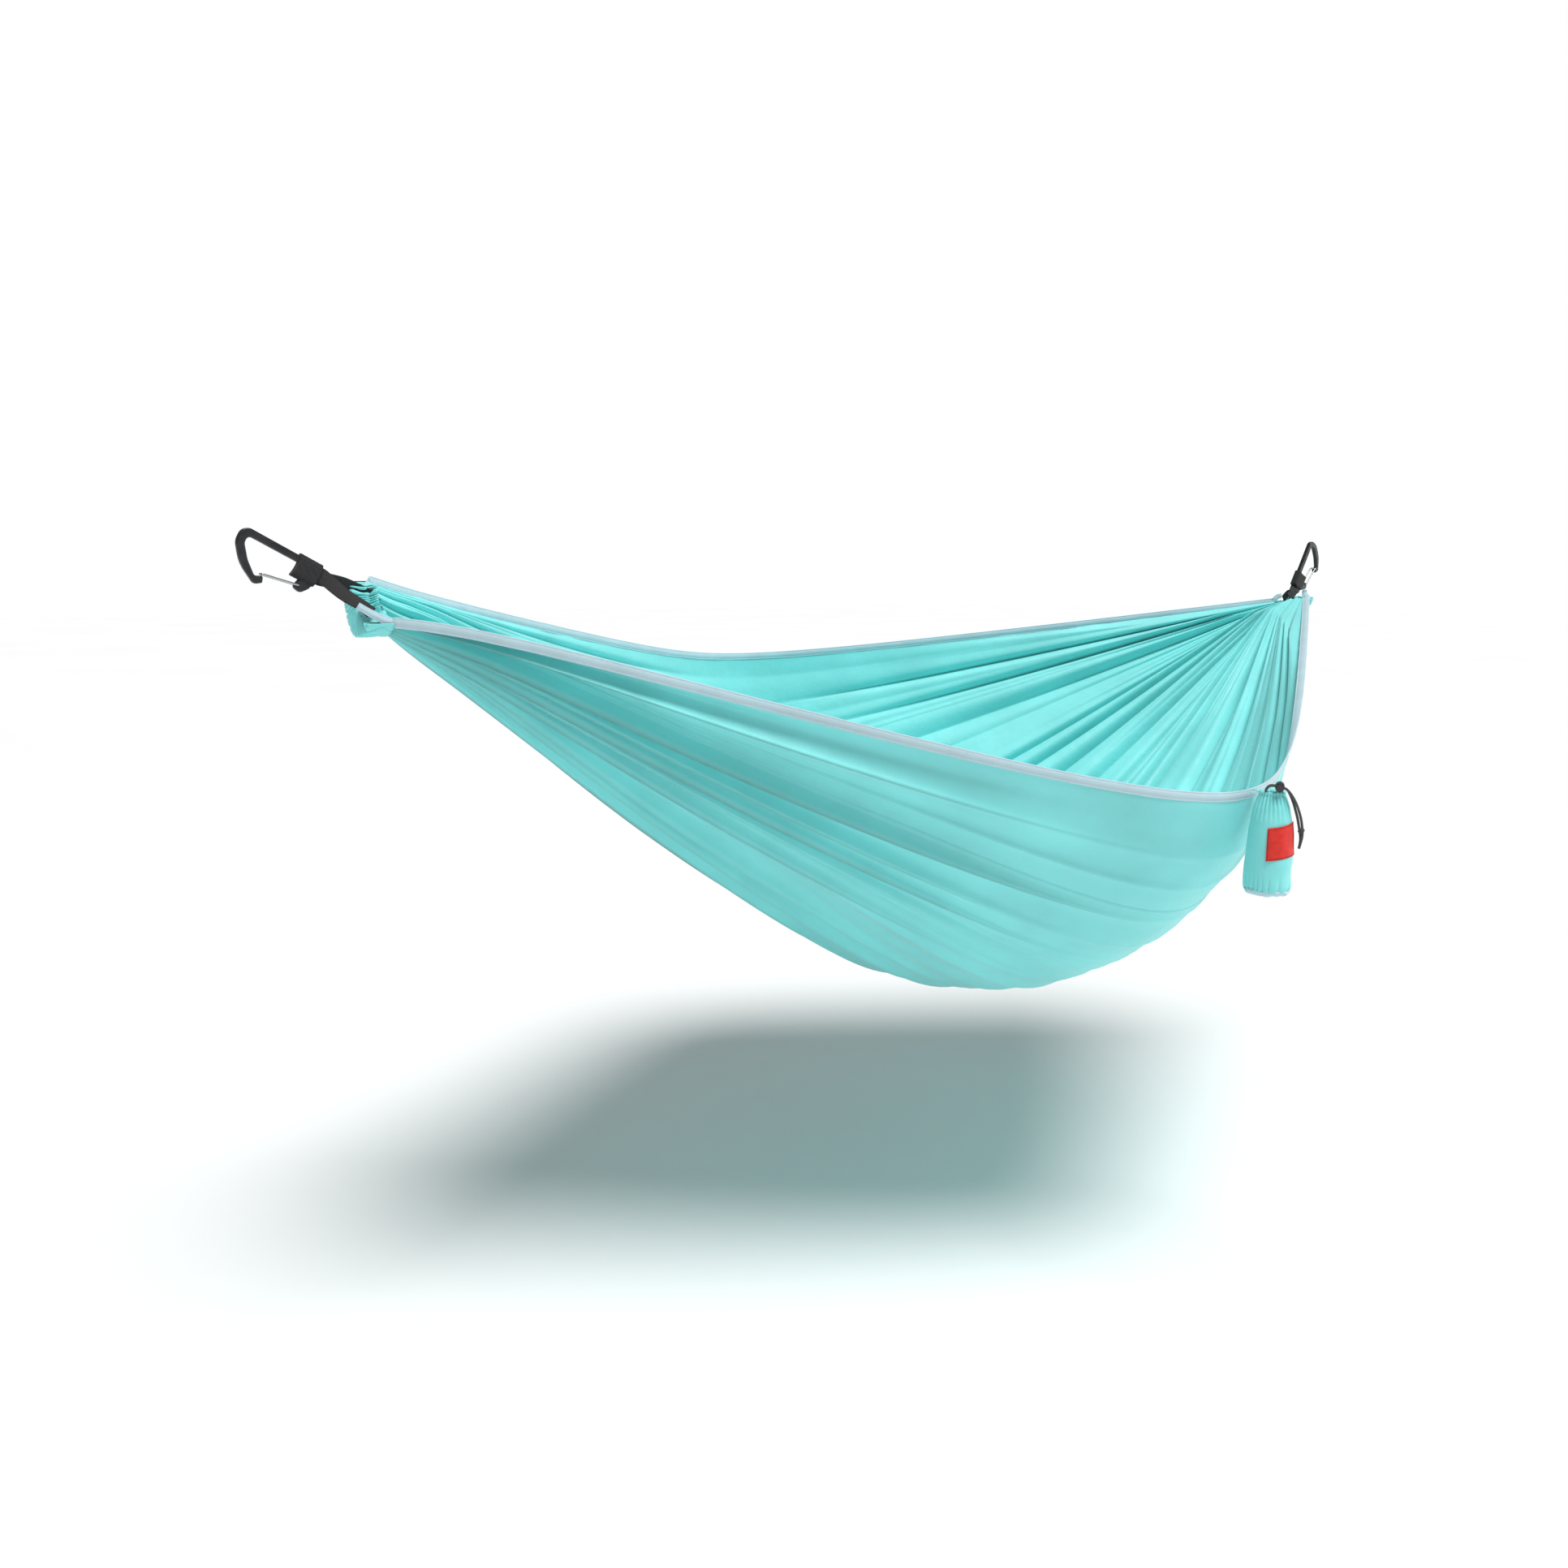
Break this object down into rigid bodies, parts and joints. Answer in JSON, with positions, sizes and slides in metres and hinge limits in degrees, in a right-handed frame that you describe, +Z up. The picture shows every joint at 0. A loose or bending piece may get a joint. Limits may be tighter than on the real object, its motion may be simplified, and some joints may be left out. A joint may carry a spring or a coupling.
{
  "type": "camping hammock",
  "caption": "Parachute-cloth camping hammock hung open from a carabiner at each end, with its stuff sack hanging from one edge by a tab and closed by a drawcord and cord lock.",
  "frame": {"origin": "point inside the left carabiner where a tree strap bears", "axes": "+X towards the right carabiner, +Z up, -Y the edge that carries the stuff sack"},
  "size_m": [2.3871, 1.4147, 0.8434],
  "materials": {
    "bed_nylon": "aqua parachute nylon, fine ripstop weave, soft sheen",
    "edge_tape": "pale blue folded nylon tape, double stitched",
    "webbing": "charcoal woven nylon webbing",
    "carabiner": "dark grey anodised, satin",
    "gate_wire": "bright stainless wire",
    "sack_nylon": "aqua parachute nylon, gathered at the mouth",
    "sack_base_cloth": "pale blue nylon",
    "label": "plain red woven patch, dark edge stitching",
    "cord": "charcoal braided cord",
    "lock_plastic": "dark grey moulded acetal",
    "lock_spring": "steel spring wire"
  },
  "bodies": {
    "left_carabiner": {"left_carabiner_body": "carabiner", "left_sling_hitch": "webbing"},
    "left_gate": {"left_wire_gate": "gate_wire"},
    "bed": {"near_side_panel": "bed_nylon", "centre_panel": "bed_nylon", "far_side_panel": "bed_nylon", "near_edge_trim": "edge_tape", "far_edge_trim": "edge_tape", "left_end_channel": "bed_nylon", "left_sling_channel_run": "webbing", "left_sling_strands": "webbing", "right_end_channel": "bed_nylon", "right_sling_channel_run": "webbing", "right_sling_strands": "webbing"},
    "right_carabiner": {"right_carabiner_body": "carabiner", "right_sling_hitch": "webbing"},
    "right_gate": {"right_wire_gate": "gate_wire"},
    "stuff_sack": {"sack_body": "sack_nylon", "sack_base": "sack_base_cloth", "sack_mouth_hem": "sack_nylon", "drawcord_channel_run": "cord", "sack_label": "label", "sack_hang_tab": "sack_nylon", "drawcord_strand_1": "cord", "drawcord_strand_2": "cord", "drawcord_knot": "cord"},
    "cord_lock": {"cord_lock_barrel": "lock_plastic", "cord_lock_spring": "lock_spring"},
    "lock_button": {"cord_lock_button": "lock_plastic"}
  },
  "joints": [
    {"name": "left_gate_hinge", "type": "hinge", "parent": "left_carabiner", "child": "left_gate", "pos_m": [0.06261, 0, -0.05864], "axis": [0, 1, 0], "range_deg": [0, 25], "stiffness_Nm_per_rad": 0.5, "springref_deg": -17.19},
    {"name": "hammock_swing", "type": "hinge", "parent": "left_carabiner", "child": "bed", "pos_m": [0.07631, 0, -0.04282], "axis": [1, 0, -0.0075], "range_deg": [-25, 25], "deforming": ["left_sling_strands"]},
    {"name": "right_carabiner_hang", "type": "hinge", "parent": "bed", "child": "right_carabiner", "pos_m": [2.30568, 0, -0.05953], "axis": [1, 0, -0.0075], "range_deg": [-25, 25], "deforming": ["right_sling_strands"]},
    {"name": "right_gate_hinge", "type": "hinge", "parent": "right_carabiner", "child": "right_gate", "pos_m": [2.32565, 0, -0.06579], "axis": [0, -1, 0], "range_deg": [0, 25], "stiffness_Nm_per_rad": 0.5, "springref_deg": -17.19},
    {"name": "sack_swing", "type": "hinge", "parent": "bed", "child": "stuff_sack", "pos_m": [1.2633, -0.6507, -0.3623], "axis": [-1, 0, 0], "range_deg": [-8, 80]},
    {"name": "cord_lock_slide", "type": "slide", "parent": "stuff_sack", "child": "cord_lock", "axis": [0.5621, -0.8086, -0.1739], "range_m": [0, 0.015], "deforming": ["drawcord_strand_1", "drawcord_strand_2"]},
    {"name": "lock_button_press", "type": "slide", "parent": "cord_lock", "child": "lock_button", "axis": [0.8211, 0.5708, 0], "range_m": [0, 0.003], "stiffness_N_per_m": 300, "springref_m": -0.002, "deforming": ["cord_lock_spring"]}
  ],
  "couplings": [
    {"joint": "right_carabiner_hang", "follows": "hammock_swing", "ratio": -1}
  ]
}
